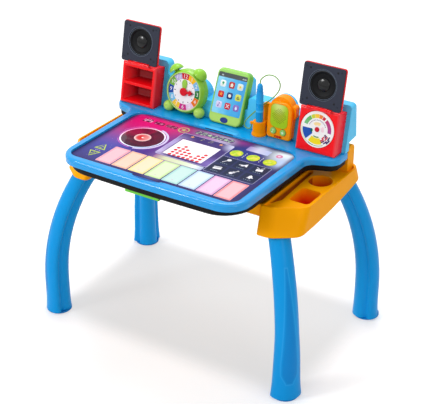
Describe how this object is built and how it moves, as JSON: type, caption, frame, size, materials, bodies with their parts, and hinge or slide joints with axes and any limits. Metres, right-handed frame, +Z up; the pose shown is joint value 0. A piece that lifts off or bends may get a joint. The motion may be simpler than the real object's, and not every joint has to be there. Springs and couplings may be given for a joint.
{
  "type": "musical activity table",
  "caption": "Toddler's musical activity desk: storage tray on curved legs, flip-up keyboard top, fold-down speaker doors, toy clock, phone, radio and pen.",
  "frame": {"origin": "on the floor, under the middle of the table", "axes": "+X towards the right of a child seated in front, +Y away from the child, +Z up"},
  "size_m": [0.6608, 0.4556, 0.6146],
  "materials": {
    "tray_orange": "glossy moulded",
    "leg_blue": "glossy moulded",
    "desk_blue": "glossy moulded",
    "board_black": "matte",
    "screw_steel": "satin",
    "pin_steel": "satin",
    "foot_rubber": "matte",
    "page_print": "satin printed",
    "lens_white": "satin",
    "circuit_green": "satin",
    "clip_green": "glossy moulded",
    "box_red": "glossy moulded",
    "face_grey": "satin",
    "cone_black": "matte",
    "dome_black": "glossy",
    "wheel_white": "glossy printed",
    "rivet_red": "glossy",
    "clock_green": "glossy moulded",
    "dial_white": "glossy printed",
    "hand_green": "glossy moulded",
    "hand_red": "glossy moulded",
    "phone_green": "glossy moulded",
    "screen_blue": "glossy printed",
    "badge_navy": "glossy",
    "player_orange": "glossy moulded",
    "player_lime": "glossy moulded",
    "switch_red": "glossy moulded",
    "pen_blue": "glossy moulded",
    "tip_grey": "matte",
    "cord_green": "matte",
    "spring_rubber": "matte",
    "cell_wrap": "satin",
    "inner_black": "matte"
  },
  "bodies": {
    "base": {"base_tray": "tray_orange", "lid_hinge_pins": "pin_steel", "tray_bumpers": "foot_rubber", "foot_pads": "foot_rubber", "leg_front_left": "leg_blue", "leg_front_right": "leg_blue", "leg_rear_left": "leg_blue", "leg_rear_right": "leg_blue"},
    "desktop": {"desktop_shell": "desk_blue", "chalkboard": "board_black", "shell_screws": "screw_steel", "led_lens": "lens_white", "led_board": "circuit_green", "touch_board": "circuit_green", "clip_mount": "board_black", "clip_pin": "pin_steel", "clip_spring": "pin_steel", "back_wall": "desk_blue", "back_cover": "desk_blue", "cover_screws": "screw_steel", "battery_box": "inner_black", "batteries": "cell_wrap", "battery_door": "desk_blue", "main_board": "circuit_green", "speaker_box_left": "box_red", "speaker_box_right": "box_red", "door_hinge_pins": "pin_steel", "wheel_rivet": "rivet_red", "clock_body": "clock_green", "clock_dial": "dial_white", "clock_pin": "hand_red", "phone_body": "phone_green", "phone_screen": "screen_blue", "phone_badge": "badge_navy", "player_body": "player_orange", "player_grille": "player_lime", "loudspeaker": "inner_black", "button_springs": "spring_rubber", "pen_holder": "player_orange", "pen_cord": "cord_green"},
    "page": {"activity_page": "page_print"},
    "clip": {"paper_clip": "clip_green"},
    "left_door": {"speaker_door_left": "box_red", "speaker_face_left": "face_grey", "speaker_cone_left": "cone_black", "speaker_dome_left": "dome_black"},
    "right_door": {"speaker_door_right": "box_red", "speaker_face_right": "face_grey", "speaker_cone_right": "cone_black", "speaker_dome_right": "dome_black"},
    "wheel": {"colour_wheel": "wheel_white"},
    "minute": {"minute_hand": "hand_green"},
    "hour": {"hour_hand": "hand_red"},
    "pen": {"pen_body": "pen_blue", "pen_tip": "tip_grey"},
    "left_button": {"player_button_left": "player_lime"},
    "right_button": {"player_button_right": "player_lime"},
    "switch": {"slide_switch": "switch_red"}
  },
  "joints": [
    {"name": "lid_flip", "type": "hinge", "parent": "base", "child": "desktop", "pos_m": [0, 0.128, 0.427], "axis": [-1, 0, 0], "range_deg": [0, 100]},
    {"name": "page_lift", "type": "hinge", "parent": "desktop", "child": "page", "pos_m": [0, 0.0465, 0.43], "axis": [-1, 0, 0], "range_deg": [0, 20]},
    {"name": "left_door_fold", "type": "hinge", "parent": "desktop", "child": "left_door", "pos_m": [-0.2223, 0.07761, 0.52587], "axis": [1, 0, 0], "range_deg": [0, 180]},
    {"name": "right_door_fold", "type": "hinge", "parent": "desktop", "child": "right_door", "pos_m": [0.2223, 0.07761, 0.52587], "axis": [1, 0, 0], "range_deg": [0, 180]},
    {"name": "wheel_spin", "type": "hinge", "parent": "desktop", "child": "wheel", "pos_m": [0.2223, 0.07175, 0.484], "axis": [0, -0.9804, 0.197], "continuous": true},
    {"name": "minute_spin", "type": "hinge", "parent": "desktop", "child": "minute", "pos_m": [-0.1088, 0.08455, 0.48498], "axis": [0, -0.9804, 0.197], "continuous": true},
    {"name": "hour_spin", "type": "hinge", "parent": "desktop", "child": "hour", "pos_m": [-0.1088, 0.08455, 0.48498], "axis": [0, -0.9804, 0.197], "continuous": true},
    {"name": "pen_lift", "type": "slide", "parent": "desktop", "child": "pen", "axis": [0, 0, 1], "range_m": [0, 0.03], "deforming": ["pen_cord"]},
    {"name": "left_button_press", "type": "slide", "parent": "desktop", "child": "left_button", "axis": [0, 0.9962, -0.0872], "range_m": [0, 0.0015], "stiffness_N_per_m": 300, "deforming": ["button_springs"]},
    {"name": "right_button_press", "type": "slide", "parent": "desktop", "child": "right_button", "axis": [0, 0.9962, -0.0872], "range_m": [0, 0.0015], "stiffness_N_per_m": 300, "deforming": ["button_springs"]},
    {"name": "switch_slide", "type": "slide", "parent": "desktop", "child": "switch", "axis": [1, 0, 0], "range_m": [-0.004, 0.004]},
    {"name": "clip_open", "type": "hinge", "parent": "desktop", "child": "clip", "pos_m": [-0.0045, -0.194, 0.3985], "axis": [1, 0, 0], "range_deg": [0, 20], "stiffness_Nm_per_rad": 0.05, "springref_deg": -17.19}
  ]
}
